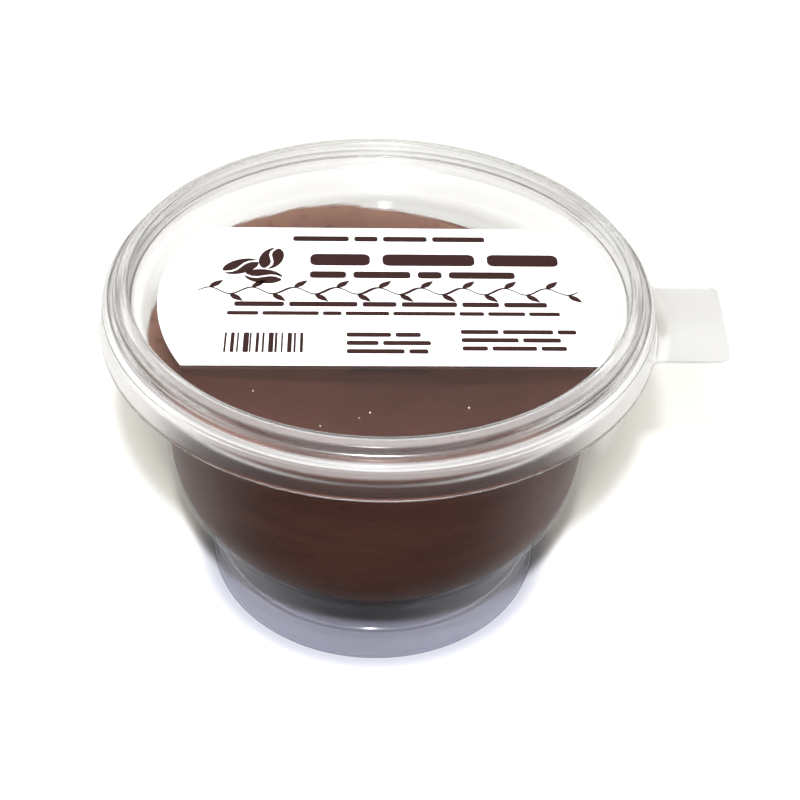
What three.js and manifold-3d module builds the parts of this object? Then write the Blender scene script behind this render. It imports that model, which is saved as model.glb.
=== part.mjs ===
// Chocolate mousse in its clear footed pot, closed by a clear press-fit lid with a pull tab and a paper label.
// Millimetres, +Z up. The pot stands on z = 0 and its pull tab points along +X.
// The origin lies below the middle of the whole outline, so the pot's own axis is a little towards -X.
import * as THREE from "three";
import { mergeVertices } from "three/addons/utils/BufferGeometryUtils.js";
import Module from "manifold-3d";

const wasm = await Module();
wasm.setup();

// Driving dimensions
const lidRadius = 45; // lower edge of the lid's skirt
const skirtBase = 52.4; // height of that edge above the table
const lidHeight = 60.3; // top of the lid's rim, which is the overall height
const lidWall = 0.5;
const panelRadius = 39.6; // flat middle of the lid
const panelTop = 54.8;
const panelRound = 0.3; // small round between the panel and the riser around it
const riserStep = 2.2; // height of the little step in the riser, above the panel
const riserLean = 0.25; // how far each half of the riser leans out, and the step's width
const crestRadius = 40.9; // ring along the top of the lid's rim
const crestRound = 0.65; // the rim's tight inner round
const rimRound = 2.9; // the rim's wide outer round
const rimRoundEnd = THREE.MathUtils.degToRad(28); // where that round runs into the bead
const beadRadius = 44.35; // lower edge of the rim's rounded bead, where the skirt begins
const beadBase = 55.8;
const beadRound = 0.35;

const tabReach = 55.9; // from the pot's axis to the end of the pull tab
const tabWidth = 20.2;
const tabThickness = 0.6;
const tabCorner = 2.2; // the two rounded far corners
const tabFillet = 1.5; // hollow round at each side of the root
const tabLift = THREE.MathUtils.degToRad(4); // the tab rises a little towards its end

const potWall = 0.8;
const bowlClearance = 1.7; // between the bowl's underside and the table
const domeRadius = 42.8; // the bowl's shallow bottom
const cornerRadius = 19.86; // the tighter round between bottom and wall
const cornerReach = 16.45; // centre of that round, from the axis
const wallDraft = 0.04; // the wall opens by this much for each millimetre of height
const wallTop = 47; // where the wall starts to flare to the mouth
const mouthBase = 52.9; // where the flare ends
const mouthRadius = 41.9; // outside of the mouth
const flangeRadius = 43.15; // the lid is pressed over this flange
const flangeTop = 56.7;
const flangeThickness = 0.85;
const flangeRound = 0.25;
const footRadius = 29.75;
const footTopRadius = 28.95; // where the foot's wall runs into the bowl
const footRim = 1.4; // height of the thicker rim along the foot's lower edge
const footLand = 1.2; // width of the flat ring that the pot stands on
const footRound = 0.25; // at both sides of that ring

const mousseLevel = 49.2; // height of the mousse's edge at the wall
const frontRise = 1.5; // the edge stands higher by this much in front
const riseStart = 2; // distance in front of the axis where that rise begins
const riseEnd = 36;
const mousseSag = 5.6; // the surface sinks by this much from its edge to its middle
const sagRadius = 37.5;
const dips = [
  { x: 15, y: 35, depth: 1.95, spread: 17 }, // a wide hollow at the back
  { x: 18, y: -6, depth: 1.6, spread: 11 },
  { x: -38, y: 4, depth: 0.4, spread: 8 }, // and a low stretch of the edge at each side
  { x: 37, y: -3, depth: 0.4, spread: 8 },
];
const fitGap = 0.3; // kept between the mousse and the pot

const labelRadius = 37.4;
const labelHalfHeight = 18.9; // the label's two straight edges lie this far from its middle
const labelThickness = 0.1;
const labelShift = new THREE.Vector2(1.4, 1.3); // put on by hand, a little off the middle
const labelTurn = THREE.MathUtils.degToRad(5);

const roundSteps = 48; // sides of everything turned
const quarter = Math.PI / 2;

const at = (radius, height) => new THREE.Vector2(radius, height);

// Points on an arc about (x, y), from angle a0 to a1, both ends included.
function arcPoints(x, y, radius, a0, a1, steps) {
  return Array.from({ length: steps + 1 }, (_, i) => {
    const a = a0 + ((a1 - a0) * i) / steps;
    return at(x + radius * Math.cos(a), y + radius * Math.sin(a));
  });
}

// The same line moved to its right-hand side by a distance, with mitred corners.
function offsetLine(points, distance) {
  const rightOf = (from, to) => at(to.y - from.y, from.x - to.x).normalize();
  return points.map((point, i) => {
    const before = i > 0 ? rightOf(points[i - 1], point) : rightOf(point, points[1]);
    const after = i < points.length - 1 ? rightOf(point, points[i + 1]) : before;
    const mitre = before.clone().add(after).divideScalar(1 + before.dot(after));
    return mitre.multiplyScalar(distance).add(point);
  });
}

// A solid of revolution about +Z from a closed (radius, height) profile that goes up along its outside.
function turned(profile) {
  return new THREE.LatheGeometry(profile, roundSteps).rotateX(quarter);
}

function toSolid(geometry) {
  const bare = geometry.index ? geometry.toNonIndexed() : geometry.clone();
  bare.deleteAttribute("normal");
  bare.deleteAttribute("uv");
  const merged = mergeVertices(bare, 1e-4);
  const vertProperties = new Float32Array(merged.attributes.position.array);
  const triVerts = new Uint32Array(merged.index.array);
  return new wasm.Manifold(new wasm.Mesh({ numProp: 3, vertProperties, triVerts }));
}

function toGeometry(solid) {
  const mesh = solid.getMesh();
  const geometry = new THREE.BufferGeometry();
  geometry.setAttribute("position", new THREE.BufferAttribute(mesh.vertProperties, 3));
  geometry.setIndex(new THREE.BufferAttribute(mesh.triVerts, 1));
  geometry.computeVertexNormals();
  return geometry;
}

// The bowl's wall at a distance inside its outer face, from a start radius up to the foot of the flare.
// A shallow dome runs into the corner round, and the round into the drafted wall.
function bowlPoints(inset, startRadius) {
  const domeCentre = bowlClearance + domeRadius;
  const cornerCentre = domeCentre - Math.sqrt((domeRadius - cornerRadius) ** 2 - cornerReach ** 2);
  const join = Math.atan2(cornerCentre - domeCentre, cornerReach);
  const dome = domeRadius - inset;
  const corner = cornerRadius - inset;
  const start = -Math.acos(startRadius / dome);
  const end = -Math.atan(wallDraft);
  const wallFoot = at(cornerReach + corner * Math.cos(end), cornerCentre + corner * Math.sin(end));
  return [
    at(startRadius, domeCentre + dome * Math.sin(start)),
    ...arcPoints(0, domeCentre, dome, start, join, 5).slice(1),
    ...arcPoints(cornerReach, cornerCentre, corner, join, end, 7).slice(1),
    at(wallFoot.x + (wallTop - wallFoot.y) * wallDraft, wallTop),
  ];
}

// The flare from the wall's top to the mouth: half a straight cone, half an S.
function flarePoints(inset, lowRadius) {
  const steps = 4;
  const widening = mouthRadius - inset - lowRadius;
  return Array.from({ length: steps }, (_, i) => {
    const t = (i + 1) / steps;
    const ease = t * t * (3 - 2 * t);
    return at(lowRadius + (widening * (t + ease)) / 2, wallTop + (mouthBase - wallTop) * t);
  });
}

// Bowl, hollow foot ring and the flange that the lid is pressed over, as one turned wall.
function makePot() {
  const footInside = footTopRadius - potWall;
  const footEnd = -Math.acos(footInside / domeRadius);
  const under = arcPoints(0, bowlClearance + domeRadius, domeRadius, -quarter, footEnd, 4);
  under[0].x = 0; // exactly on the axis
  const outside = bowlPoints(0, footTopRadius);
  const inside = bowlPoints(potWall, 0);
  const mouthInside = mouthRadius - potWall;
  return turned([
    ...under,
    at(footRadius - footLand, footRim),
    at(footRadius - footRound - footLand, 0),
    at(footRadius - footRound, 0),
    at(footRadius, footRound),
    at(footRadius, footRim),
    ...outside,
    ...flarePoints(0, outside.at(-1).x),
    at(mouthRadius, flangeTop - flangeThickness - flangeRound),
    at(mouthRadius + flangeRound, flangeTop - flangeThickness),
    at(flangeRadius, flangeTop - flangeThickness),
    at(flangeRadius, flangeTop - flangeRound),
    at(flangeRadius - flangeRound, flangeTop),
    at(mouthInside + flangeRound, flangeTop),
    at(mouthInside, flangeTop - flangeRound),
    ...flarePoints(potWall, inside.at(-1).x).reverse(),
    ...inside.reverse(),
  ]);
}

// Height of the mousse's surface, which sags towards its middle, stands higher in front and has soft hollows.
function mousseHeight(x, y) {
  const rise = frontRise * THREE.MathUtils.smoothstep(-y, riseStart, riseEnd);
  const sag = mousseSag * (1 - Math.min(1, Math.hypot(x, y) / sagRadius) ** 2);
  const hollow = dips
    .map((dip) => dip.depth * Math.exp(-((x - dip.x) ** 2 + (y - dip.y) ** 2) / (2 * dip.spread ** 2)))
    .reduce((sum, depth) => sum + depth, 0);
  return mousseLevel + rise - sag - hollow;
}

// Radius inside the pot at a height between the wall and the mouth.
function insideRadius(height) {
  const inside = bowlPoints(potWall, 0);
  const all = [...inside, ...flarePoints(potWall, inside.at(-1).x)];
  const i = all.findIndex((point) => point.y >= height);
  const t = (height - all[i - 1].y) / (all[i].y - all[i - 1].y);
  return all[i - 1].x + (all[i].x - all[i - 1].x) * t;
}

// Where the mousse's surface meets the wall, in one direction from the axis.
function mousseEdge(angle) {
  const passes = 4; // each pass comes nearer to the radius and height that fit both wall and surface
  let radius = mouthRadius;
  for (let pass = 0; pass < passes; pass += 1) {
    radius = insideRadius(mousseHeight(radius * Math.cos(angle), radius * Math.sin(angle))) - fitGap;
  }
  return at(radius, mousseHeight(radius * Math.cos(angle), radius * Math.sin(angle)));
}

// The filling: turned to the inside of the pot, with its upper rings lifted to the sagging surface.
function makeMousse() {
  const climbMark = 500; // the one ring that still waits for its place between wall and surface
  const topMark = 1000; // rings from here up wait for their place on the surface
  const topShares = [1, 0.93, 0.82, 0.68, 0.52, 0.35, 0.18, 0]; // those rings, as parts of the edge's radius
  const topRings = topShares.map((share, i) => at(share, topMark + i));
  const geometry = turned([...bowlPoints(potWall + fitGap, 0), at(1, climbMark), ...topRings]);
  const position = geometry.attributes.position;
  for (let i = 0; i < position.count; i += 1) {
    const mark = position.getZ(i);
    if (mark >= climbMark) {
      const share = Math.hypot(position.getX(i), position.getY(i));
      const angle = Math.atan2(position.getY(i), position.getX(i));
      const edge = mousseEdge(angle);
      const climbHeight = (wallTop + edge.y) / 2;
      const climbing = mark < topMark;
      const radius = climbing ? insideRadius(climbHeight) - fitGap : share * edge.x;
      const x = radius * Math.cos(angle);
      const y = radius * Math.sin(angle);
      position.setXYZ(i, x, y, climbing ? climbHeight : mousseHeight(x, y));
    }
  }
  return geometry;
}

// The lid without its tab: sunk panel, two-step riser, rounded rim, bead and flared skirt.
function lidProfile() {
  const riser = panelRadius + panelRound;
  const top = [
    at(0, panelTop),
    ...arcPoints(panelRadius, panelTop + panelRound, panelRound, -quarter, 0, 2),
    at(riser + riserLean, panelTop + riserStep),
    at(riser + riserLean * 2, panelTop + riserStep + panelRound),
    ...arcPoints(crestRadius, lidHeight - crestRound, crestRound, Math.PI, quarter, 3),
    ...arcPoints(crestRadius, lidHeight - rimRound, rimRound, quarter, rimRoundEnd, 4).slice(1),
    at(beadRadius - beadRound, beadBase + beadRound * 3),
    at(beadRadius, beadBase + beadRound),
    at(beadRadius, beadBase),
    at(lidRadius, skirtBase),
  ];
  const underside = offsetLine(top, lidWall);
  underside[0].x = 0; // exactly on the axis
  underside.at(-1).y = skirtBase; // the skirt ends level
  return [...underside, ...top.reverse()];
}

// A flat plate with two rounded far corners, its root following the skirt with a small fillet at each side.
function makeTab() {
  const half = tabWidth / 2;
  const root = lidRadius - lidWall / 2; // the root ends inside the skirt's wall
  const filletX = Math.sqrt((lidRadius + tabFillet) ** 2 - (half + tabFillet) ** 2);
  const spread = Math.atan2(half + tabFillet, filletX);
  const hinge = root * Math.cos(spread); // the lift turns the plate about this line
  const cornerX = tabReach - tabCorner;
  const shape = new THREE.Shape([
    ...arcPoints(0, 0, root, spread, -spread, 10),
    ...arcPoints(filletX, -half - tabFillet, tabFillet, Math.PI - spread, quarter, 3),
    ...arcPoints(cornerX, tabCorner - half, tabCorner, -quarter, 0, 5),
    ...arcPoints(cornerX, half - tabCorner, tabCorner, 0, quarter, 5),
    ...arcPoints(filletX, half + tabFillet, tabFillet, -quarter, spread - Math.PI, 3),
  ]);
  return new THREE.ExtrudeGeometry(shape, { depth: tabThickness, bevelEnabled: false })
    .translate(-hinge, 0, 0)
    .rotateY(-tabLift)
    .translate(hinge, 0, skirtBase);
}

function makeLid() {
  return toGeometry(toSolid(turned(lidProfile())).add(toSolid(makeTab())));
}

// A disc with two parallel straight edges.
function makeLabel() {
  const corner = Math.asin(labelHalfHeight / labelRadius);
  const shape = new THREE.Shape([
    ...arcPoints(0, 0, labelRadius, -corner, corner, 16),
    ...arcPoints(0, 0, labelRadius, Math.PI - corner, Math.PI + corner, 16),
  ]);
  return new THREE.ExtrudeGeometry(shape, { depth: labelThickness, bevelEnabled: false })
    .rotateZ(labelTurn)
    .translate(labelShift.x, labelShift.y, panelTop);
}

function node(name, geometry, color, roughness) {
  const material = new THREE.MeshStandardMaterial({ color, roughness, metalness: 0 });
  const mesh = new THREE.Mesh(geometry, material);
  mesh.name = name;
  return mesh;
}

const clearPlastic = 0xdfe0e2;
const chocolate = 0x5a352b;
const whitePaper = 0xf7f6f5;
const lid = makeLid();
lid.computeBoundingBox();

const group = new THREE.Group();
group.position.x = -(lid.boundingBox.min.x + lid.boundingBox.max.x) / 2;
group.add(
  node("pot", makePot(), clearPlastic, 0.15),
  node("mousse", makeMousse(), chocolate, 0.55),
  node("lid", lid, clearPlastic, 0.2),
  node("label", makeLabel(), whitePaper, 0.6),
);

export default group;
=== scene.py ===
import math

import bmesh
import bpy
from mathutils import Matrix, Vector, noise


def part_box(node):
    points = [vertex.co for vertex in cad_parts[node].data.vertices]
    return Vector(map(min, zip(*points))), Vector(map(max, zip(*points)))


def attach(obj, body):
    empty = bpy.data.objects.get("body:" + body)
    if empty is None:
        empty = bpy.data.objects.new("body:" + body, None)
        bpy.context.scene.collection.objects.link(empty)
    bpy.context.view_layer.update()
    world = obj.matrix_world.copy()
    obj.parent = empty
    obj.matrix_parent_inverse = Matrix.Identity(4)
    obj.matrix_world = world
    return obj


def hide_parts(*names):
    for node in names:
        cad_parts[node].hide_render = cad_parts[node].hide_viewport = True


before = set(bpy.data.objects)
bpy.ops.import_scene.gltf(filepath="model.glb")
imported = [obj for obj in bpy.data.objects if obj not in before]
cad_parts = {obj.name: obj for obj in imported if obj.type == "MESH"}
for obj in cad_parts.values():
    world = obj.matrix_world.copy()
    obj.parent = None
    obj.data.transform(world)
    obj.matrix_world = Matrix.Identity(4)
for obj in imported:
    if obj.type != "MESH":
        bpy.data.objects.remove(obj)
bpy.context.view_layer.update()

mm = 0.001
potLow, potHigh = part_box("pot")
axisX = (potLow.x + potHigh.x) / 2  # the pot's own axis, a little towards -X of the origin
quarter = math.pi / 2
around = 192  # steps round everything turned
closeBy = 1e-7  # points nearer to each other than this are merged, in metres
sharpTurn = math.radians(50)  # edges that turn more than this stay sharp


def arcPoints(x, z, radius, start, end, steps):
    # (radius, height) points along an arc, both ends included
    turn = (end - start) / steps
    angles = [start + turn * i for i in range(steps + 1)]
    return [(x + radius * math.cos(angle), z + radius * math.sin(angle)) for angle in angles]


def offsetLine(points, distance):
    # the same line moved to its right-hand side, with mitred corners
    def rightOf(a, b):
        return Vector((b[1] - a[1], a[0] - b[0])).normalized()

    moved = []
    for i, point in enumerate(points):
        before = rightOf(points[i - 1], point) if i else rightOf(point, points[1])
        after = rightOf(point, points[i + 1]) if i < len(points) - 1 else before
        mitre = (before + after) / (1 + before.dot(after))
        moved.append((point[0] + mitre.x * distance, point[1] + mitre.y * distance))
    return moved


def spinProfile(profile):
    # a profile of (radius, height) in mm, from the axis or closed on itself, turned about the pot's axis
    bm = bmesh.new()
    line = [bm.verts.new((axisX + r * mm, 0, z * mm)) for r, z in profile]
    edges = [bm.edges.new(pair) for pair in zip(line, line[1:])]
    bmesh.ops.spin(bm, geom=line + edges, cent=(axisX, 0, 0), axis=(0, 0, 1), angle=2 * math.pi,
                   steps=around, use_merge=True, use_duplicate=False)
    bmesh.ops.remove_doubles(bm, verts=bm.verts, dist=closeBy)
    bmesh.ops.dissolve_degenerate(bm, edges=bm.edges, dist=closeBy)
    bmesh.ops.recalc_face_normals(bm, faces=bm.faces)
    return bm


def finishPiece(name, bm, material, node=None):
    # a bmesh becomes a named piece with its material, riding on the one body
    for face in bm.faces:
        face.smooth = True
    for edge in bm.edges:
        edge.smooth = len(edge.link_faces) == 2 and edge.calc_face_angle() < sharpTurn
    mesh = bpy.data.meshes.new(name)
    bm.to_mesh(mesh)
    bm.free()
    piece = bpy.data.objects.new(name, mesh)
    bpy.context.scene.collection.objects.link(piece)
    mesh.materials.append(material)
    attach(piece, "root")
    if node:
        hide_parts(node)
    print("made", name, len(mesh.polygons), "faces")
    return piece


class Signal:
    # one output socket, with the arithmetic that the materials use
    def __init__(self, tree, socket):
        self.tree = tree
        self.socket = socket

    def maths(self, operation, *values):
        return addNode(self.tree, "ShaderNodeMath", {"operation": operation}, dict(enumerate(values)))

    def __add__(self, other):
        return self.maths("ADD", self, other)

    def __sub__(self, other):
        return self.maths("SUBTRACT", self, other)

    def __rsub__(self, other):
        return self.maths("SUBTRACT", other, self)

    def __mul__(self, other):
        return self.maths("MULTIPLY", self, other)

    def __truediv__(self, other):
        return self.maths("DIVIDE", self, other)

    def __pow__(self, other):
        return self.maths("POWER", self, other)

    __radd__ = __add__
    __rmul__ = __mul__


def addNode(tree, kind, settings=None, inputs=None, output=0):
    node = tree.nodes.new(kind)
    for name, value in (settings or {}).items():
        setattr(node, name, value)
    for name, value in (inputs or {}).items():
        if isinstance(value, Signal):
            tree.links.new(value.socket, node.inputs[name])
        else:
            node.inputs[name].default_value = value
    return Signal(tree, node.outputs[output])


def mixColours(tree, share, first, second):
    return addNode(tree, "ShaderNodeMix", {"data_type": "RGBA"}, {0: share, 6: first, 7: second}, 2)


def mixShaders(tree, share, first, second):
    return addNode(tree, "ShaderNodeMixShader", inputs={0: share, 1: first, 2: second})


def larger(tree, first, second):
    return addNode(tree, "ShaderNodeMath", {"operation": "MAXIMUM"}, {0: first, 1: second})


def lightPath(tree, kind):
    return addNode(tree, "ShaderNodeLightPath", output=kind)


def softNoise(tree, place, scale, detail, bend=0):
    inputs = {"Vector": place, "Scale": scale, "Detail": detail, "Distortion": bend}
    return addNode(tree, "ShaderNodeTexNoise", inputs=inputs, output="Fac")


def ramp(tree, value, low, high):
    # 0 at low and 1 at high, held beyond them and eased between
    settings = {"interpolation_type": "SMOOTHSTEP"}
    inputs = {"Value": value, "From Min": low, "From Max": high}
    return addNode(tree, "ShaderNodeMapRange", settings, inputs)


def bands(tree, value, rows, soft):
    # the sum of soft-edged bands, each given as (from, to, share)
    parts = []
    for low, high, share in rows:
        rise = ramp(tree, value, low - soft, low + soft)
        fall = ramp(tree, value, high - soft, high + soft)
        parts.append((rise - fall) * share)
    return sum(parts[1:], parts[0])


def newMaterial(name):
    material = bpy.data.materials.new(name)
    material.use_nodes = True
    material.node_tree.nodes.clear()
    return material, material.node_tree


def centredPlace(tree):
    # Object coordinates with the pot's axis at the middle
    place = addNode(tree, "ShaderNodeTexCoord", output="Object")
    return addNode(tree, "ShaderNodeMapping", {"vector_type": "POINT"},
                   {"Vector": place, "Location": (-axisX, 0, 0)})


def axisDistance(tree, place):
    parts = tree.nodes.new("ShaderNodeSeparateXYZ")
    tree.links.new(place.socket, parts.inputs[0])
    x, y, z = (Signal(tree, socket) for socket in parts.outputs)
    return (x * x + y * y) ** 0.5, z


def output(tree, shader):
    addOut = tree.nodes.new("ShaderNodeOutputMaterial")
    tree.links.new(shader.socket, addOut.inputs["Surface"])


clearLook = dict(
    ior=1.5, milk=(0.92, 0.91, 0.9, 1), milkRoughness=0.3, wellBehind=(0.016, 0.03),
    fineShare=0.4, wideShare=0.6, wideSpacing=3.7, flowScale=45, flowDetail=1)


def clearPlastic(name, shares, look):
    # thin clear moulded plastic with faint lines: lamps reach what is behind it, and a little of it
    # scatters like milk
    # shares gives, by axis distance and height: tint, milk, roughness, calm, which is the part without
    # reflections, and the shares of the second and third of the colours that lamps keep in passing; the
    # third counts only for what lies well behind, such as the table
    material, tree = newMaterial(name)
    place = centredPlace(tree)
    radius, height = axisDistance(tree, place)
    tint, milkiness, roughness, calm, second, third = shares(tree, radius, height)
    along = (radius - height) * (2 * math.pi / look["lineSpacing"])
    fine = addNode(tree, "ShaderNodeMath", {"operation": "SINE"}, {0: along})
    wide = addNode(tree, "ShaderNodeMath", {"operation": "SINE"}, {0: along / clearLook["wideSpacing"]})
    flow = softNoise(tree, place, clearLook["flowScale"], clearLook["flowDetail"])
    relief = fine * clearLook["fineShare"] + wide * clearLook["wideShare"] + flow * look["flow"]
    bump = addNode(tree, "ShaderNodeBump",
                   inputs={"Strength": 1, "Distance": look["lineHeight"], "Height": relief})
    clear = addNode(tree, "ShaderNodeBsdfPrincipled", inputs={
        "Base Color": tint, "Roughness": roughness, "IOR": clearLook["ior"], "Transmission Weight": 1,
        "Normal": bump})
    milk = addNode(tree, "ShaderNodeBsdfPrincipled", inputs={
        "Base Color": clearLook["milk"], "Roughness": clearLook["milkRoughness"], "IOR": clearLook["ior"],
        "Normal": bump})
    body = mixShaders(tree, milkiness, clear, milk)
    shadow = lightPath(tree, "Is Shadow Ray")
    lampRay = larger(tree, shadow, lightPath(tree, "Is Diffuse Ray"))
    near, other, far = (addNode(tree, "ShaderNodeBsdfTransparent", inputs={"Color": colour})
                        for colour in look["passing"])
    behind = shadow * ramp(tree, lightPath(tree, "Ray Length"), *clearLook["wellBehind"]) * third
    through = mixShaders(tree, behind, mixShaders(tree, second, near, other), far)
    output(tree, mixShaders(tree, larger(tree, lampRay, calm), body, through))
    return material


# dark and light are the mousse's own swirls; the other three colours are painted: a pale painted light for the
# rear left edge, a darker painted shade for the front-facing side, and a lighter painted light where that side
# leans out near the top
mousseLook = dict(
    dark=(0.066, 0.0235, 0.0155, 1), light=(0.079, 0.03, 0.02, 1), pale=(0.21, 0.11, 0.077, 1),
    paintedSideShade=(0.032, 0.0121, 0.0084, 1), paintedSideLight=(0.38, 0.16, 0.118, 1), paintedSideShadeEven=0.7, paintedSideLightEven=0.4,
    stretch=(1, 1, 5), swirlScale=60, swirlDetail=5, swirlBend=1.2, swirlShare=0.8, toneEdge=(0.35, 0.65),
    bubbleScale=1400, crumbScale=900, crumbDetail=3, mottleScale=330, mottleDetail=2, mottleEdge=(0.1, 0.5),
    bump=0.5, bumpHeight=0.00008, crumbRelief=0.6, roughness=0.5, gloss=0.12, fadeMottle=0.3,
    fadeEdge=(0.3, 1.1))
mousseLayers = ("paintedRearLight", "thin", "paintedSideShade", "paintedSideLight", "sideways")  # what the mesh tells the material


def mousseFinish():
    # chocolate mousse: soft darker and lighter swirls, drawn out level, and fine air bubbles
    # its front-facing side against the wall carries painted shade, and painted light where that side leans out
    # near the top;
    # its rear left edge carries a paler painted light, and it fades along its very edge
    look = mousseLook
    material, tree = newMaterial("chocolateMousse")
    place = centredPlace(tree)
    stretched = addNode(tree, "ShaderNodeMapping", inputs={"Vector": place, "Scale": look["stretch"]})
    swirl = softNoise(tree, stretched, look["swirlScale"], look["swirlDetail"], look["swirlBend"])
    bubbles = addNode(tree, "ShaderNodeTexVoronoi",
                      inputs={"Vector": place, "Scale": look["bubbleScale"]}, output="Distance")
    crumb = softNoise(tree, place, look["crumbScale"], look["crumbDetail"])
    mottle = softNoise(tree, place, look["mottleScale"], look["mottleDetail"])
    paintedRearLight, thin, paintedSideShade, paintedSideLight, sideways = (
        addNode(tree, "ShaderNodeAttribute", {"attribute_name": name}, output="Fac")
        for name in mousseLayers)
    tone = ramp(tree, swirl * look["swirlShare"] + crumb * (1 - look["swirlShare"]), *look["toneEdge"])
    # painted shade on the front-facing side below the top, and painted light where that side leans out near
    # the top
    paintedSideShadeShare = paintedSideShade * sideways * (tone * (1 - look["paintedSideShadeEven"]) + look["paintedSideShadeEven"])
    paintedSideLightShare = paintedSideLight * (sideways * (1 - look["paintedSideLightEven"]) + look["paintedSideLightEven"])
    colour = mixColours(tree, tone, look["dark"], look["light"])
    colour = mixColours(tree, paintedSideShadeShare, colour, look["paintedSideShade"])
    colour = mixColours(tree, paintedSideLightShare, colour, look["paintedSideLight"])
    # painted light near the rear left edge, broken up by the mottle
    colour = mixColours(tree, paintedRearLight * ramp(tree, mottle, *look["mottleEdge"]), colour, look["pale"])
    bump = addNode(tree, "ShaderNodeBump", inputs={
        "Strength": look["bump"], "Distance": look["bumpHeight"],
        "Height": bubbles + crumb * look["crumbRelief"]})
    solid = addNode(tree, "ShaderNodeBsdfPrincipled", inputs={
        "Base Color": colour, "Roughness": look["roughness"], "Specular IOR Level": look["gloss"],
        "Normal": bump})
    gone = addNode(tree, "ShaderNodeBsdfTransparent")
    fading = ramp(tree, thin + mottle * look["fadeMottle"], *look["fadeEdge"])
    output(tree, mixShaders(tree, fading, solid, gone))
    return material


paperLook = dict(
    dark=(0.9, 0.9, 0.9, 1), light=(0.93, 0.93, 0.925, 1), fibreScale=1600, fibreDetail=4, bump=0.3,
    bumpHeight=0.00002, roughness=0.45, through=(0.74, 0.72, 0.69, 1))


def paperFinish():
    # white paper that lets a little of the lamps' light through
    look = paperLook
    material, tree = newMaterial("labelPaper")
    fibres = softNoise(tree, centredPlace(tree), look["fibreScale"], look["fibreDetail"])
    bump = addNode(tree, "ShaderNodeBump", inputs={
        "Strength": look["bump"], "Distance": look["bumpHeight"], "Height": fibres})
    paper = addNode(tree, "ShaderNodeBsdfPrincipled", inputs={
        "Base Color": mixColours(tree, fibres, look["dark"], look["light"]),
        "Roughness": look["roughness"], "Normal": bump})
    through = addNode(tree, "ShaderNodeBsdfTransparent", inputs={"Color": look["through"]})
    output(tree, mixShaders(tree, lightPath(tree, "Is Shadow Ray"), paper, through))
    return material


inkLook = dict(dark=(0.022, 0.0072, 0.0068, 1), light=(0.032, 0.012, 0.011, 1), grainScale=2500,
               grainDetail=2, roughness=0.5, gloss=0.15)


def inkFinish():
    material, tree = newMaterial("brownInk")
    grain = softNoise(tree, centredPlace(tree), inkLook["grainScale"], inkLook["grainDetail"])
    output(tree, addNode(tree, "ShaderNodeBsdfPrincipled", inputs={
        "Base Color": mixColours(tree, grain, inkLook["dark"], inkLook["light"]),
        "Roughness": inkLook["roughness"], "Specular IOR Level": inkLook["gloss"]}))
    return material


pot = dict(
    wall=0.8, clearance=1.7, domeRadius=42.8, cornerRadius=19.86, cornerReach=16.45, draft=0.04,
    wallTop=47, mouthBase=52.9, mouthRadius=41.9, flangeRadius=43.1, flangeTop=57.2, flangeThickness=0.85,
    footRadius=29.75, footTopRadius=28.95, footWall=0.6, footRim=1.35, footStep=0.15,
    ledgeRadius=29.5, ledgeTop=7.3, ledgeRound=0.6, ledgeTurn=1.3, ledgeInset=(0.02, 0.01), edgeRound=0.25,
    underSteps=14, domeSteps=18, cornerSteps=27, flareSteps=12)


def bowlPoints(inset, startRadius):
    # the bowl's wall at a distance inside its outer face: dome, corner round and drafted wall
    domeCentre = pot["clearance"] + pot["domeRadius"]
    between = pot["domeRadius"] - pot["cornerRadius"]
    cornerCentre = domeCentre - math.sqrt(between ** 2 - pot["cornerReach"] ** 2)
    join = math.atan2(cornerCentre - domeCentre, pot["cornerReach"])
    dome = pot["domeRadius"] - inset
    corner = pot["cornerRadius"] - inset
    end = -math.atan(pot["draft"])
    points = arcPoints(0, domeCentre, dome, -math.acos(startRadius / dome), join, pot["domeSteps"])
    points += arcPoints(pot["cornerReach"], cornerCentre, corner, join, end, pot["cornerSteps"])[1:]
    footX, footZ = points[-1]
    rise = pot["wallTop"] - footZ
    points += [(footX + rise * pot["draft"] * t, footZ + rise * t) for t in (0.33, 0.66, 1)]
    return points


def flarePoints(inset, lowRadius):
    widening = pot["mouthRadius"] - inset - lowRadius
    rise = pot["mouthBase"] - pot["wallTop"]
    shares = [(i + 1) / pot["flareSteps"] for i in range(pot["flareSteps"])]
    return [(lowRadius + widening * (t + t * t * (3 - 2 * t)) / 2, pot["wallTop"] + rise * t)
            for t in shares]


def footPoints():
    # the foot's outside: a slightly thicker rim along its lower edge, and a small rounded ledge further up
    step, ledge = pot["footStep"], pot["ledgeRound"]
    insetX, insetZ = pot["ledgeInset"]
    points = arcPoints(pot["footRadius"] - step, pot["footRim"] - step, step, 0, quarter, 4)
    points += arcPoints(pot["ledgeRadius"] - ledge, pot["ledgeTop"] - ledge, ledge, 0, pot["ledgeTurn"], 8)
    return points + [(points[-1][0] - insetX, pot["ledgeTop"] + insetZ)]


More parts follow.
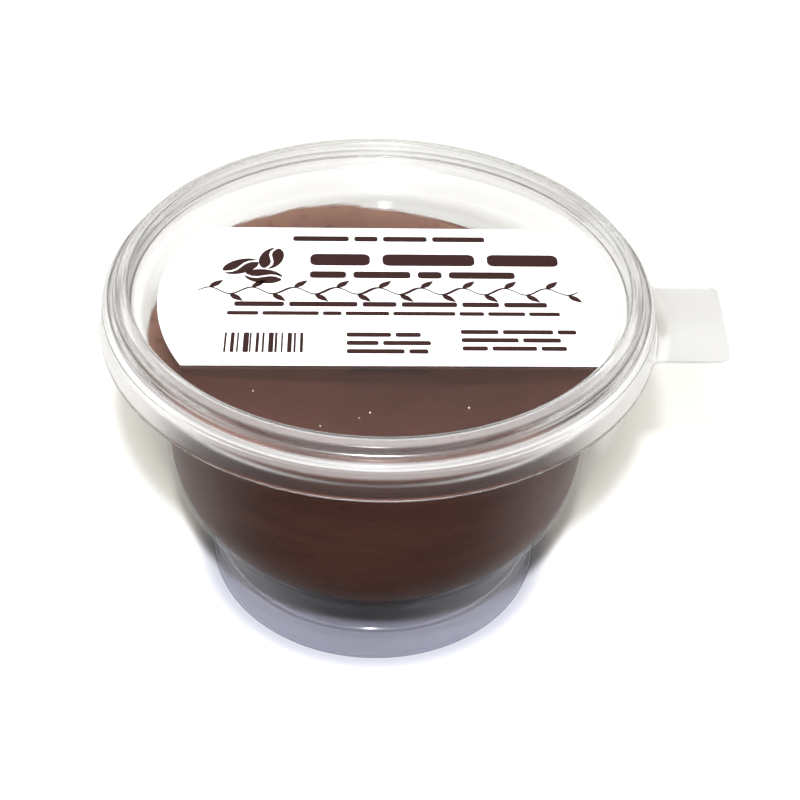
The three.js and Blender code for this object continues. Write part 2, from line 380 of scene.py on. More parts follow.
def potProfile():
    wall, edge = pot["wall"], pot["edgeRound"]
    domeCentre = pot["clearance"] + pot["domeRadius"]
    footInside = pot["footTopRadius"] - pot["footWall"]
    foot, mouth, flange = pot["footRadius"], pot["mouthRadius"], pot["flangeRadius"]
    underEnd = -math.acos(footInside / pot["domeRadius"])
    under = arcPoints(0, domeCentre, pot["domeRadius"], -quarter, underEnd, pot["underSteps"])
    under[0] = (0, under[0][1])
    outside = bowlPoints(0, pot["footTopRadius"])
    inside = bowlPoints(wall, 0)
    inside[0] = (0, inside[0][1])
    top = pot["flangeTop"]
    lip = top - pot["flangeThickness"]
    profile = under + arcPoints(foot - pot["footWall"] + edge, edge, edge, math.pi, 1.5 * math.pi, 4)
    profile += arcPoints(foot - edge, edge, edge, -quarter, 0, 4)
    profile += footPoints()
    profile += outside + flarePoints(0, outside[-1][0])
    profile += arcPoints(mouth + edge, lip - edge, edge, math.pi, quarter, 3)
    profile += arcPoints(flange - edge, lip + edge, edge, -quarter, 0, 3)
    profile += arcPoints(flange - edge, top - edge, edge, 0, quarter, 3)
    profile += arcPoints(mouth - wall + edge, top - edge, edge, quarter, math.pi, 3)
    profile += flarePoints(wall, inside[-1][0])[::-1] + inside[::-1]
    return profile


potLook = dict(
    footTint=(0.72, 0.72, 0.81, 1), bowlTint=(0.99, 0.99, 0.99, 1), tintEdge=(0.011, 0.016),
    milk=0.001, mouthMilk=0.006, mouthEdge=(0.0535, 0.056), footEdge=(0.0115, 0.0135),
    footCalm=0.75, underCalm=0.15, underEdge=(0.0276, 0.0281),
    bowlCalm=((0.0125, 0.019, 0.96), (0.019, 0.049, 0.82)),
    ledgeGloss=((0.0066, 0.0074, 0.45),), ledgeEdge=(0.0286, 0.0288),
    roughness=0.05, roughened=((0.0065, 0.0074, 0.08), (0.0011, 0.00145, 0.1)),
    dimmed=((0.013, 0.047, 1), (0.047, 0.06, 0.2)), soft=0.001, crisp=0.0001,
    passing=((0.755, 0.755, 0.775, 1), (0.92, 0.92, 0.92, 1), (0.5, 0.49, 0.47, 1)),
    passingEdge=(0.0125, 0.0135), lineSpacing=0.0016, lineHeight=0.000003, flow=2)


def potShares(tree, radius, height):
    # the foot's plastic is greyer and cooler and shines most on its ledge, and the bowl reflects less where
    # the filling lies against it
    look = potLook
    tint = mixColours(tree, ramp(tree, height, *look["tintEdge"]), look["footTint"], look["bowlTint"])
    milk = ramp(tree, height, *look["mouthEdge"]) * look["mouthMilk"] + look["milk"]
    below = 1 - ramp(tree, height, *look["footEdge"])
    underside = 1 - ramp(tree, radius, *look["underEdge"])
    calm = bands(tree, height, look["bowlCalm"], look["soft"])
    ledge = bands(tree, height, look["ledgeGloss"], look["crisp"]) * ramp(tree, radius, *look["ledgeEdge"])
    calm = calm + below * (underside * look["underCalm"] + look["footCalm"]) * (1 - ledge)
    roughness = bands(tree, height, look["roughened"], look["crisp"]) + look["roughness"]
    dimmed = bands(tree, height, look["dimmed"], look["soft"])
    return tint, milk, roughness, calm, ramp(tree, height, *look["passingEdge"]), dimmed


potShell = finishPiece("potShell", spinProfile(potProfile()), clearPlastic("clearPot", potShares, potLook),
                       "pot")


# besides the shape: the heights over which the side's painted shade fades, and the reach of the painted light
# along the rear left edge
mousse = dict(
    level=49.2, frontRise=1.5, riseStart=-2, riseEnd=-36, sag=5.6, sagRadius=37.5,
    dips=((15, 35, 1.95, 17), (-38, 4, 0.4, 8), (37, -3, 0.4, 8), (18, -6, 1.6, 11)),
    unevenness=0.22, unevenWidth=6, intoWall=0.12, rings=60, climbRings=10, meniscus=0.4, creepFrom=0.93,
    paintedSideShadeFrom=44.6, paintedSideShadeTo=47, sideFrom=0.85, sideTo=0.45, thinWidth=0.9, rearLightFrom=0.8, rearLightWidth=4,
    rearLightRearWidth=6, rearLightTurn=0.9, rearLightAside=0.7, unevenSlice=3.1)


def held(value):
    # the value kept between 0 and 1
    return max(0, min(1, value))


def mousseHeight(x, y):
    # a softly uneven surface that sags towards its middle, with a higher edge in front than at the back
    share = held((y - mousse["riseStart"]) / (mousse["riseEnd"] - mousse["riseStart"]))
    height = mousse["level"] + mousse["frontRise"] * share * share * (3 - 2 * share)
    height -= mousse["sag"] * (1 - min(1, math.hypot(x, y) / mousse["sagRadius"]) ** 2)
    for dipX, dipY, depth, spread in mousse["dips"]:
        height -= depth * math.exp(-((x - dipX) ** 2 + (y - dipY) ** 2) / (2 * spread ** 2))
    width = mousse["unevenWidth"]
    return height + mousse["unevenness"] * noise.noise(Vector((x / width, y / width, mousse["unevenSlice"])))


def insideRadius(height):
    inside = bowlPoints(pot["wall"], 0)
    inside += flarePoints(pot["wall"], inside[-1][0])
    for low, high in zip(inside, inside[1:]):
        if high[1] >= height:
            return low[0] + (high[0] - low[0]) * (height - low[1]) / (high[1] - low[1])
    return inside[-1][0]


def mousseEdge(angle):
    # the height at which the surface meets the wall, found in a few steps
    radius = pot["mouthRadius"]
    for _ in range(4):
        radius = insideRadius(mousseHeight(radius * math.cos(angle), radius * math.sin(angle)))
    return mousseHeight(radius * math.cos(angle), radius * math.sin(angle))


def makeMousse():
    # the side follows the pot's inside, just into its wall; the top rolls softly and creeps up the wall
    side = bowlPoints(pot["wall"] - mousse["intoWall"], 0)
    side[0] = (0, side[0][1])
    climb, rings = mousse["climbRings"], mousse["rings"]
    topMark = 1000  # rings from here up still wait for their place
    waiting = [(1, topMark - climb + i) for i in range(climb)]
    waiting += [((1 - i / rings) if i < rings else 0, topMark + i) for i in range(rings + 1)]
    bm = spinProfile(side + waiting)
    paintedRearLight, thin, paintedSideShade, paintedSideLight, sideways = (bm.verts.layers.float.new(name) for name in mousseLayers)
    edges = {}
    for vert in bm.verts:
        mark = vert.co.z / mm
        x, y = (vert.co.x - axisX) / mm, vert.co.y / mm
        facing = -y / max(0.001, math.hypot(x, y))
        vert[sideways] = held((facing - mousse["sideTo"]) / (mousse["sideFrom"] - mousse["sideTo"]))
        if mark < topMark - climb - 0.5:
            # painted shade on the whole side below the climbing rings
            vert[paintedSideShade] = 1
            continue
        angle = math.atan2(y, x)
        key = round(angle, 4)
        if key not in edges:
            edges[key] = mousseEdge(angle)
        edgeHeight = edges[key] + mousse["meniscus"]
        if mark < topMark - 0.5:
            share = (mark - topMark + climb + 1) / (climb + 1)
            z = pot["wallTop"] + (edgeHeight - pot["wallTop"]) * share
            radius = insideRadius(z) + mousse["intoWall"]
            fromEdge = edgeHeight - z
            # the painted shade fades out up the climbing side, and painted light takes its place
            vert[paintedSideShade] = held((mousse["paintedSideShadeTo"] - z) / (mousse["paintedSideShadeTo"] - mousse["paintedSideShadeFrom"]))
            vert[paintedSideLight] = 1 - vert[paintedSideShade]
        else:
            share = math.hypot(x, y)
            radius = share * (insideRadius(edgeHeight) + mousse["intoWall"])
            x, y = radius * math.cos(angle), radius * math.sin(angle)
            creep = max(0, (share - mousse["creepFrom"]) / (1 - mousse["creepFrom"]))
            z = mousseHeight(x, y) + mousse["meniscus"] * creep ** 2
            fromEdge = insideRadius(edgeHeight) - radius
        vert.co = (axisX + radius * math.cos(angle) * mm, radius * math.sin(angle) * mm, z * mm)
        # painted light along the edge where the surface meets the wall, most at the rear left
        turned = math.sin(angle) - math.cos(angle) * mousse["rearLightAside"]  # most at the rear left
        rear = held(0.5 + turned * mousse["rearLightTurn"])
        rearLightWidth = mousse["rearLightWidth"] + mousse["rearLightRearWidth"] * max(0, math.sin(angle))
        vert[paintedRearLight] = rear * max(0, 1 - max(0, fromEdge - mousse["rearLightFrom"]) / rearLightWidth)
        vert[thin] = max(0, 1 - max(0, fromEdge) / mousse["thinWidth"]) * (1 - vert[sideways])
    bmesh.ops.recalc_face_normals(bm, faces=bm.faces)
    return finishPiece("mousseFill", bm, mousseFinish(), "mousse")


mousseFill = makeMousse()


lid = dict(
    radius=45, skirtBase=52.4, wall=0.5, panelTop=54.8, flatRadius=37.4, cornerRound=2.3, riserStep=0.2,
    riserDrop=0.1, riserRise=0.05, crestRadius=40.5, crestTop=60.45, crestRound=0.6, crestFlat=0.3,
    grooveRadius=41.35, grooveTop=60.2, ledgeRadius=42.0, ledgeTop=60.0, dropRadius=42.45, dropTop=58.85,
    brimRadius=43.15, brimTop=58.6, shoulderRadius=43.9, shoulderTop=57.65, beadRadius=44.3, beadTop=57.0,
    beadBase=56.6, beadLean=0.05, beadRise=0.25, softCorner=0.14)
tab = dict(reach=55.9, width=20.2, thickness=0.6, endThickness=0.4, corner=2.2, fillet=1.5,
           lift=math.radians(4), rootRows=(0.25, 0.5, 0.75, 1), middleRow=2.5, cornerRows=6, rootBow=0.05)


def panelHeight(radius):
    # the lid's flat middle, and the soft round that leads up to its riser
    past = max(0, min(radius - lid["flatRadius"], lid["cornerRound"]))
    return lid["panelTop"] + lid["cornerRound"] - math.sqrt(lid["cornerRound"] ** 2 - past ** 2)


def rounded(points, radius, steps=3):
    # an open line with each inner corner swapped for a small round
    line = [points[0]]
    for before, corner, after in zip(points, points[1:], points[2:]):
        corner = Vector(corner)
        back, on = Vector(before) - corner, Vector(after) - corner
        reach = min(radius, back.length * 0.45, on.length * 0.45)  # less than half of either side
        start, end = corner + back.normalized() * reach, corner + on.normalized() * reach
        for i in range(steps + 1):
            t = i / steps
            point = start * (1 - t) ** 2 + corner * 2 * t * (1 - t) + end * t * t
            line.append((point.x, point.y))
    return line + [points[-1]]


def lidProfile():
    riserX = lid["flatRadius"] + lid["cornerRound"]
    riserZ = lid["panelTop"] + lid["cornerRound"]
    crest, top, crestRound = lid["crestRadius"], lid["crestTop"], lid["crestRound"]
    flat = [(0, lid["panelTop"])]
    flat += arcPoints(lid["flatRadius"], riserZ, lid["cornerRound"], -quarter, -0.1, 12)
    edge = [(riserX, riserZ - lid["riserDrop"]), (riserX + lid["riserStep"], riserZ + lid["riserRise"])]
    inner = arcPoints(crest, top - crestRound, crestRound, math.pi, quarter, 8)
    corners = ("groove", "ledge", "drop", "brim", "shoulder")
    outer = [(crest + lid["crestFlat"], top)] + [(lid[part + "Radius"], lid[part + "Top"]) for part in corners]
    outer += [(lid["beadRadius"] - lid["beadLean"], lid["beadTop"]),
              (lid["beadRadius"], lid["beadBase"] + lid["beadRise"])]
    lowFace = lid["skirtBase"] + tab["thickness"]
    share = (lowFace - lid["beadBase"]) / (lid["skirtBase"] - lid["beadBase"])
    skirt = [(lid["beadRadius"], lid["beadBase"]),
             (lid["beadRadius"] + (lid["radius"] - lid["beadRadius"]) * share, lowFace),
             (lid["radius"], lid["skirtBase"])]
    top = flat + edge + inner + rounded([inner[-1]] + outer + skirt[:1], lid["softCorner"])[1:-1] + skirt
    under = offsetLine(top, lid["wall"])
    under[0] = (0, under[0][1])
    under[-1] = (under[-1][0], lid["skirtBase"])
    return under + top[::-1]


def tabHalf(x, rootX):
    # half the tab's width at a distance from the pot's axis
    half, fillet = tab["width"] / 2, tab["fillet"]
    if x < rootX + fillet:
        return half + fillet - math.sqrt(max(0, fillet ** 2 - (rootX + fillet - x) ** 2))
    past = x - (tab["reach"] - tab["corner"])
    if past > 0:
        return half - tab["corner"] + math.sqrt(max(0, tab["corner"] ** 2 - past ** 2))
    return half


def growTab(bm):
    # the skirt's outer wall along its lower edge is drawn out row by row into the tab
    spread = math.asin((tab["width"] / 2 + tab["fillet"]) / lid["radius"])
    lowFace = (lid["skirtBase"] + tab["thickness"]) * mm

    def inStrip(face):
        middle = face.calc_center_median()
        radius = math.hypot(middle.x - axisX, middle.y) / mm
        angle = math.atan2(middle.y, middle.x - axisX)
        return (abs(angle) < spread + math.pi / around and middle.z < lowFace
                and face.normal.xy.length > 0.9  # upright faces only
                and radius > lid["radius"] - lid["wall"] / 2)

    strip = [face for face in bm.faces if inStrip(face)]
    hinge = lid["radius"] * math.cos(spread)
    cornerX, steps = tab["reach"] - tab["corner"], tab["cornerRows"]
    rows = [hinge + tab["fillet"] * t for t in tab["rootRows"]]
    rows += [hinge + tab["fillet"] + tab["middleRow"], cornerX]
    rows += [cornerX + tab["corner"] * math.sin(quarter * i / steps) for i in range(1, steps + 1)]
    for rowX in rows:
        grown = bmesh.ops.extrude_face_region(bm, geom=strip)
        bmesh.ops.delete(bm, geom=strip, context="FACES")
        strip = [item for item in grown["geom"] if isinstance(item, bmesh.types.BMFace)]
        verts = {vert for face in strip for vert in face.verts}
        half = tabHalf(rowX, hinge)
        widest = max(abs(vert.co.y) for vert in verts)
        middleZ = sum(vert.co.z for vert in verts) / len(verts)
        settled = min(1, (rowX - hinge) / (lid["radius"] - hinge + tab["fillet"] * 2))
        thin = tab["thickness"] + (tab["endThickness"] - tab["thickness"]) * settled
        for vert in verts:
            y = vert.co.y / widest * half
            arcX = math.sqrt(max(0, lid["radius"] ** 2 - y ** 2))
            x = max(rowX, arcX + tab["rootBow"] * (rowX - hinge)) if settled < 1 else rowX
            lift = (x - hinge) * math.tan(tab["lift"])
            z = lid["skirtBase"] + (thin if vert.co.z > middleZ else 0) + lift
            vert.co = (axisX + x * mm, y * mm, z * mm)
    return bm


lidLook = dict(
    panelTint=(0.98, 0.98, 0.98, 1), rimTint=(0.99, 0.99, 0.99, 1), rimEdge=(0.0385, 0.0405),
    milk=0.003, crestMilk=((0.0388, 0.0412, 0.05), (0.0412, 0.0421, 0.08)), crestEdge=(0.0596, 0.0598),
    shoulderMilk=((0.0431, 0.0439, 0.15),), shoulderSlope=1.267, shoulderEdge=(0.1128, 0.113),
    beadMilk=((0.0439, 0.0446, 0.15),), beadEdge=(0.0557, 0.0565), crisp=0.0001,
    roughness=0.05, cornerRoughness=0.08, cornerEdge=(0.0366, 0.038), rimRoughness=0.07,
    tabEdge=(0.0462, 0.0475), tabCalm=0.5, tabClear=0.6, lowEdge=(0.0526, 0.0528), lowCalm=0.6,
    outerLedge=((0.04195, 0.0423, 0.75),), outerLedgeEdge=(0.059, 0.0592), crisper=0.00005,
    innerLedge=((0.0415, 0.0418, 0.75),), innerLedgeHeight=((0.0593, 0.0598, 1),),
    brim=((0.0426, 0.04335, 0.85),), brimEdge=(0.0578, 0.058), brimSoft=0.00008,
    passing=((0.94, 0.94, 0.945, 1), (0.985, 0.985, 0.985, 1), (0.6, 0.59, 0.56, 1)),
    lineSpacing=0.0011, lineHeight=0.000002, flow=1)


def lidShares(tree, radius, height):
    # milky in bands along the rim, most of all on the shoulder; the panel is the clearest and smoothest,
    # and the small corners of the rim, the tab and the skirt's lower edge are calmer
    look = lidLook
    rim = ramp(tree, radius, *look["rimEdge"])
    crest = bands(tree, radius, look["crestMilk"], look["crisp"])
    shoulder = bands(tree, radius, look["shoulderMilk"], look["crisp"])
    bead = bands(tree, radius, look["beadMilk"], look["crisp"])
    milk = crest * ramp(tree, height, *look["crestEdge"]) + bead * ramp(tree, height, *look["beadEdge"])
    milk = milk + look["milk"]
    milk = milk + shoulder * ramp(tree, radius * look["shoulderSlope"] + height, *look["shoulderEdge"])
    tint = mixColours(tree, rim, look["panelTint"], look["rimTint"])
    roughness = ramp(tree, radius, *look["cornerEdge"]) * look["cornerRoughness"]
    roughness = roughness + rim * look["rimRoughness"] + look["roughness"]
    tabPart = ramp(tree, radius, *look["tabEdge"])
    lowEdge = (1 - ramp(tree, height, *look["lowEdge"])) * (1 - tabPart) * rim
    corners = bands(tree, radius, look["outerLedge"], look["crisper"]) * ramp(
        tree, height, *look["outerLedgeEdge"])
    corners = corners + bands(tree, radius, look["innerLedge"], look["crisper"]) * bands(
        tree, height, look["innerLedgeHeight"], look["crisper"])
    corners = corners + bands(tree, radius, look["brim"], look["brimSoft"]) * ramp(
        tree, height, *look["brimEdge"])
    calm = tabPart * look["tabCalm"] + lowEdge * look["lowCalm"] + corners
    return tint, milk, roughness, calm, tabPart, rim * (1 - tabPart * look["tabClear"])


def makeLid():
    bm = growTab(spinProfile(lidProfile()))
    bmesh.ops.recalc_face_normals(bm, faces=bm.faces)
    return finishPiece("lidShell", bm, clearPlastic("clearLid", lidShares, lidLook), "lid")


lidShell = makeLid()


label = dict(
    radius=37.4, half=18.9, thickness=0.1, shiftX=1.4, shiftY=1.3, turn=math.radians(5), sink=0.03,
    rings=(0, 10, 20, 28, 33, 34.5, 35.5, 36.2, 36.8), steps=144, closeBy=1e-5)


def labelPlace(x, y, lift):
    # from the label's own millimetres to the frame, at a height above the lid's panel
    c, s = math.cos(label["turn"]), math.sin(label["turn"])
    px, py = label["shiftX"] + c * x - s * y, label["shiftY"] + s * x + c * y
    return Vector((axisX + px * mm, py * mm, (panelHeight(math.hypot(px, py)) + lift) * mm))


def makeLabel():
    # a disc cut by two straight edges; its end climbs a little way up the panel's soft corner
    bm = bmesh.new()
    line = [bm.verts.new((r, 0, 0)) for r in label["rings"] + (label["radius"],)]
    edges = [bm.edges.new(pair) for pair in zip(line, line[1:])]
    bmesh.ops.spin(bm, geom=line + edges, cent=(0, 0, 0), axis=(0, 0, 1), angle=2 * math.pi,
                   steps=label["steps"], use_merge=True, use_duplicate=False)
    bmesh.ops.remove_doubles(bm, verts=bm.verts, dist=label["closeBy"])
    for side in (-1, 1):
        bmesh.ops.bisect_plane(bm, geom=bm.verts[:] + bm.edges[:] + bm.faces[:],
                               plane_co=(0, side * label["half"], 0), plane_no=(0, side, 0),
                               clear_outer=True)
    grown = bmesh.ops.extrude_face_region(bm, geom=bm.faces[:])
    raised = {item for item in grown["geom"] if isinstance(item, bmesh.types.BMVert)}
    for vert in bm.verts:
        lift = label["thickness"] if vert in raised else -label["sink"]
        vert.co = labelPlace(vert.co.x, vert.co.y, lift)
    bmesh.ops.recalc_face_normals(bm, faces=bm.faces)
    return finishPiece("labelPaper", bm, paperFinish(), "label")


labelPaper = makeLabel()


printed = dict(
    height=0.015, sink=0.02, gap=0.62, corner=0.32,
    beans=((-24.5, 7.2, 0.5), (-19.5, 9.6, 1.3), (-20.6, 4.4, -0.2)), beanLength=6.4,
    beanWidth=0.31, beanSplit=0.035, beanCurve=0.09, beanSteps=16,
    title=(-16, 14.8, 1.5, (9.5, 4, 7.5, 9)),
    rows=((-13, 7.6, 3.4, (10, 15.5, 12)), (-13, 4.0, 1.9, (6, 9.5, 4, 11))),
    smallRows=((-25, -3.9, 1.3, (8, 11, 5.5, 9, 6, 7)), (-26, -6.2, 1.0, (5, 9, 3, 7, 10, 4, 6, 5))),
    tendril=(-31, 31, 0.4, 0.9, 9), waveSteps=14, stemHalf=0.17, stemSwell=0.24,
    leafLength=3, leafTurn=0.75, leafWidth=0.2, leafPoint=0.8, leafSteps=8,
    stripes=(0.35, 0.6, 0.3, 0.9, 0.3, 0.5, 0.35, 0.8, 0.4, 0.3, 0.7, 0.35, 0.5),
    stripesX=-26, stripesY=-15.8, stripeStep=0.98, stripeHeight=5,
    columns=((-7, -11.8, ((7, 4), (5, 7.5), (9, 3))), (11, -11, ((6, 8, 3), (9, 6), (4, 7, 4)))),
    columnStep=2.1, columnHeight=1.1)


def inkShape(bm, outline):
    # a closed flat shape of ink, given in the label's own millimetres
    low = label["thickness"] - printed["sink"]
    face = bm.faces.new([bm.verts.new(labelPlace(x, y, low)) for x, y in outline])
    grown = bmesh.ops.extrude_face_region(bm, geom=[face])
    top = [item for item in grown["geom"] if isinstance(item, bmesh.types.BMVert)]
    bmesh.ops.translate(bm, verts=top, vec=(0, 0, (printed["sink"] + printed["height"]) * mm))


def inkBar(bm, x, y, width, height):
    # a bar with rounded ends
    r = min(width, height) * printed["corner"]
    outline = arcPoints(x + width - r, y + height - r, r, 0, quarter, 3)
    outline += arcPoints(x + r, y + height - r, r, quarter, math.pi, 3)
    outline += arcPoints(x + r, y + r, r, math.pi, 1.5 * math.pi, 3)
    outline += arcPoints(x + width - r, y + r, r, -quarter, 0, 3)
    inkShape(bm, outline)


def inkRow(bm, x, y, height, widths):
    # a row of word-like bars from its left end
    for width in widths:
        inkBar(bm, x, y, width, height)
        x += width + printed["gap"] * height


def inkBean(bm, x, y, length, turn):
    # a cocoa bean: two halves with a curved split between them
    def place(px, py):
        return x + px * math.cos(turn) - py * math.sin(turn), y + px * math.sin(turn) + py * math.cos(turn)

    half, wide = length / 2, length * printed["beanWidth"]
    split, curve = length * printed["beanSplit"], length * printed["beanCurve"]
    steps = printed["beanSteps"]
    for side in (1, -1):
        turns = [math.pi * i / steps for i in range(1, steps)]
        rim = [(half * math.cos(angle), side * wide * math.sin(angle)) for angle in turns]
        seam = [(half * t, side * split + curve * math.sin(math.pi * t))
                for t in (-0.9, -0.6, -0.3, 0, 0.3, 0.6, 0.9)]
        inkShape(bm, [place(px, py) for px, py in (rim + seam)[::side]])


def inkWave(bm, start, end, y, rise, waves):
    # a flowing tendril that swells and thins along its way, with a leaf at every crest and trough
    def middle(t):
        return start + (end - start) * t, y + rise * math.sin(2 * math.pi * waves * t)

    steps = waves * printed["waveSteps"]
    upper, lower = [], []
    for i in range(steps + 1):
        t = i / steps
        x, height = middle(t)
        swell = max(0, math.cos(2 * math.pi * waves * t)) * math.sin(math.pi * t)
        thick = printed["stemHalf"] + printed["stemSwell"] * swell
        upper.append((x, height + thick))
        lower.append((x, height - thick))
    for i in range(steps):
        inkShape(bm, [lower[i], lower[i + 1], upper[i + 1], upper[i]])
    for i in range(2 * waves):
        side = 1 if i % 2 == 0 else -1
        x, height = middle((i + 0.5) / (2 * waves))
        inkLeaf(bm, x, height, printed["leafLength"], side * printed["leafTurn"])


def inkLeaf(bm, x, y, length, turn):
    # a pointed leaf growing from a point
    wide, point, steps = printed["leafWidth"] * length, printed["leafPoint"], printed["leafSteps"]
    shares = [i / steps for i in range(steps + 1)]
    edge = [(t * length, wide * math.sin(math.pi * t ** point)) for t in shares]
    outline = edge + [(px, -py) for px, py in edge[-2:0:-1]]
    c, s = math.cos(turn), math.sin(turn)
    inkShape(bm, [(x + c * px - s * py, y + s * px + c * py) for px, py in outline[::-1]])


def makePrint():
    bm = bmesh.new()
    inkRow(bm, *printed["title"])
    for x, y, turn in printed["beans"]:
        inkBean(bm, x, y, printed["beanLength"], turn)
    for row in printed["rows"]:
        inkRow(bm, *row)
    inkWave(bm, *printed["tendril"])
    for row in printed["smallRows"]:
        inkRow(bm, *row)
    for i, width in enumerate(printed["stripes"]):
        inkBar(bm, printed["stripesX"] + i * printed["stripeStep"], printed["stripesY"], width,
               printed["stripeHeight"])
    for x, y, lines in printed["columns"]:
        for i, widths in enumerate(lines):
            inkRow(bm, x, y - i * printed["columnStep"], printed["columnHeight"], widths)
    bmesh.ops.recalc_face_normals(bm, faces=bm.faces)
    return finishPiece("labelPrint", bm, inkFinish())


labelPrint = makePrint()


flecks = dict(
    size=0.12, varied=0.3, variedStep=2.4, sunk=0.4, roughness=0.8, dark=(0.7, 0.66, 0.62, 1),
    light=(0.85, 0.83, 0.8, 1), grainScale=3000, grainDetail=2,
    places=((-17.3, -25.4), (0.4, -28.8), (-1.1, -30.1), (14.9, -26.4), (-6.6, -32.4), (-16.3, 29.5),
            (17.2, 29.0)))


def makeFlecks():
    # a few tiny pale crumbs of dust lying on the lid's panel
    bm = bmesh.new()
    for i, (x, y) in enumerate(flecks["places"]):
        size = flecks["size"] * (1 + flecks["varied"] * math.sin(i * flecks["variedStep"])) * mm
        place = Vector((axisX + x * mm, y * mm, lid["panelTop"] * mm + size * flecks["sunk"]))
        bmesh.ops.create_icosphere(bm, subdivisions=1, radius=size, matrix=Matrix.Translation(place))
    material, tree = newMaterial("dust")
    grain = softNoise(tree, centredPlace(tree), flecks["grainScale"], flecks["grainDetail"])
    colour = mixColours(tree, grain, flecks["dark"], flecks["light"])
    output(tree, addNode(tree, "ShaderNodeBsdfPrincipled",
                         inputs={"Base Color": colour, "Roughness": flecks["roughness"]}))
    return finishPiece("lidFlecks", bm, material)


lidFlecks = makeFlecks()


ground = dict(
    # the table's own colour is the first; inside the foot is a cool painted shade, just round the foot a
    # painted shade ring, and further out a painted glow that lights the table
    size=3, colour=(0.85, 0.85, 0.84, 1), paintedCoolShade=(0.82, 0.82, 0.93, 1), paintedCoolShadeEdge=(0.0292, 0.0298),
    paintedHaloShade=(0.47, 0.475, 0.53, 1), paintedHaloShadeEdge=(0.0299, 0.0345), paintedGlow=0.34, paintedGlowEdge=(0.065, 0.2),
    mirrorEdge=(-0.05, 0), mirrorSpread=0.22)


def makeFloor():
    # a pale table with a cool painted shade inside the foot, a painted shade ring just round it, and a painted
    # glow that makes it lighter away from it; its front is left out of reflections
    bm = bmesh.new()
    bmesh.ops.create_grid(bm, x_segments=2, y_segments=2, size=ground["size"])
    mesh = bpy.data.meshes.new("floor")
    bm.to_mesh(mesh)
    bm.free()
    floor = bpy.data.objects.new("floor", mesh)
    bpy.context.scene.collection.objects.link(floor)
    material, tree = newMaterial("paleFloor")
    parts = tree.nodes.new("ShaderNodeSeparateXYZ")
    tree.links.new(centredPlace(tree).socket, parts.inputs[0])
    x, y = Signal(tree, parts.outputs[0]), Signal(tree, parts.outputs[1])
    distance = (x * x + y * y) ** 0.5
    # painted glow: the table gives off light more and more away from the foot
    paintedGlow = ramp(tree, distance, *ground["paintedGlowEdge"]) * ground["paintedGlow"]
    # painted shade in a ring just round the foot, and a cool painted shade inside the foot
    outside = mixColours(tree, ramp(tree, distance, *ground["paintedHaloShadeEdge"]), ground["paintedHaloShade"], ground["colour"])
    colour = mixColours(tree, ramp(tree, distance, *ground["paintedCoolShadeEdge"]), ground["paintedCoolShade"], outside)
    lit = addNode(tree, "ShaderNodeBsdfPrincipled", inputs={
        "Base Color": colour, "Roughness": 1, "Specular IOR Level": 0,
        "Emission Color": mixColours(tree, paintedGlow, (0, 0, 0, 1), (1, 1, 1, 1)), "Emission Strength": 1})
    aside = (x * x) ** 0.5 * ground["mirrorSpread"]
    front = 1 - ramp(tree, y + aside, *ground["mirrorEdge"])
    dark = addNode(tree, "ShaderNodeEmission", inputs={"Strength": 0})
    output(tree, mixShaders(tree, lightPath(tree, "Is Glossy Ray") * front, lit, dark))
    mesh.materials.append(material)
    return floor


sky = dict(
    colour=(1, 0.97, 0.89, 1), top=1.2, topDirection=(0, -0.05, 0.9987), topEdge=(0.74, 0.9),
    ring=0.7, ringEdge=(-0.3, 0.4), ringTop=(0.52, 0.62), front=0.22, between=0.12,
    mirrorFront=0.3, mirrorRear=0.92, mirrorTurn=(-0.6, -0.1), gap=(-0.035, 0.8, 0.6), gapEdge=(0.94, 0.965),
    gapLeft=0.16, seen=1.05, seenTop=(0.3, 0.5), seenRear=(-0.4, 0.2))


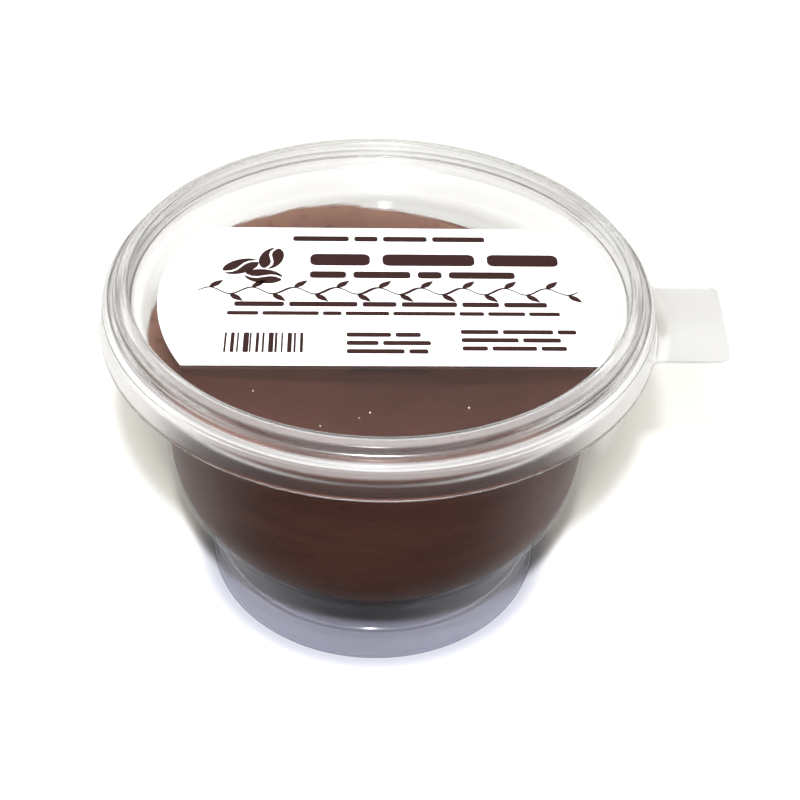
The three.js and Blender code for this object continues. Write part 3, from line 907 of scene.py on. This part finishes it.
def makeSky():
    # light from a softbox overhead and a pale ring at the rear; in reflections an even pale room with a
    # dark gap where the lid's panel would mirror it, and plain white where the background is seen
    world = bpy.data.worlds.new("studio")
    bpy.context.scene.world = world
    world.use_nodes = True
    tree = world.node_tree
    tree.nodes.clear()
    way = addNode(tree, "ShaderNodeTexCoord", output="Generated")
    parts = tree.nodes.new("ShaderNodeSeparateXYZ")
    tree.links.new(way.socket, parts.inputs[0])
    y, z = Signal(tree, parts.outputs[1]), Signal(tree, parts.outputs[2])

    def towards(direction):
        settings = {"operation": "DOT_PRODUCT"}
        return addNode(tree, "ShaderNodeVectorMath", settings, {0: way, 1: direction}, "Value")

    overhead = ramp(tree, towards(sky["topDirection"]), *sky["topEdge"]) * sky["top"]
    high = ramp(tree, z, *sky["ringTop"])
    ring = (1 - high) * (ramp(tree, y, *sky["ringEdge"]) * (sky["ring"] - sky["front"]) + sky["front"])
    light = overhead + ring + high * sky["between"]
    sides = ramp(tree, y, *sky["mirrorTurn"])
    room = sides * (sky["mirrorRear"] - sky["mirrorFront"]) + sky["mirrorFront"]
    room = room * (1 - ramp(tree, towards(sky["gap"]), *sky["gapEdge"]) * (1 - sky["gapLeft"]))
    bent = lightPath(tree, "Is Transmission Ray")
    mirrored = larger(tree, lightPath(tree, "Is Glossy Ray"), bent)
    strength = light * (1 - mirrored) + room * mirrored
    soft = addNode(tree, "ShaderNodeBackground", inputs={"Color": sky["colour"], "Strength": strength})
    plain = addNode(tree, "ShaderNodeBackground",
                    inputs={"Color": (1, 1, 1, 1), "Strength": sky["seen"]})
    rear = ramp(tree, y, *sky["seenRear"])
    seen = larger(tree, lightPath(tree, "Is Camera Ray"), bent * (1 - ramp(tree, z, *sky["seenTop"])) * rear)
    out = tree.nodes.new("ShaderNodeOutputWorld")
    tree.links.new(mixShaders(tree, seen, soft, plain).socket, out.inputs["Surface"])


flash = dict(place=(0, -0.182, 0.262), target=(axisX, 0, 0.03), size=0.018, power=1.5, colour=(0.96, 0.97, 1))


def makeFlash():
    light = bpy.data.lights.new("flash", "AREA")
    light.shape = "DISK"
    light.size = flash["size"]
    light.energy = flash["power"]
    light.color = flash["colour"]
    lamp = bpy.data.objects.new("flash", light)
    lamp.location = flash["place"]
    lamp.rotation_euler = (Vector(flash["target"]) - lamp.location).to_track_quat("-Z", "Y").to_euler()
    lamp.visible_transmission = False
    lamp.visible_camera = False
    bpy.context.scene.collection.objects.link(lamp)


camera = dict(target=(-0.00153, 0.00011, 0.03314), distance=0.2421, azimuth=math.radians(-1.61),
              elevation=math.radians(40.24), roll=math.radians(2.33), lens=63.2, clipStart=0.01)


def makeCamera():
    turn = Matrix.Rotation(-camera["azimuth"], 4, "Z")
    turn = turn @ Matrix.Rotation(quarter - camera["elevation"], 4, "X")
    turn = turn @ Matrix.Rotation(camera["roll"], 4, "Z")
    data = bpy.data.cameras.new("camera")
    data.lens = camera["lens"]
    data.clip_start = camera["clipStart"]
    eye = bpy.data.objects.new("camera", data)
    away = turn @ Vector((0, 0, camera["distance"]))
    eye.matrix_world = Matrix.Translation(Vector(camera["target"]) + away) @ turn
    bpy.context.scene.collection.objects.link(eye)
    bpy.context.scene.camera = eye


makeFloor()
makeSky()
makeFlash()
makeCamera()
bpy.context.scene.view_settings.view_transform = "Standard"
print("stage ready")
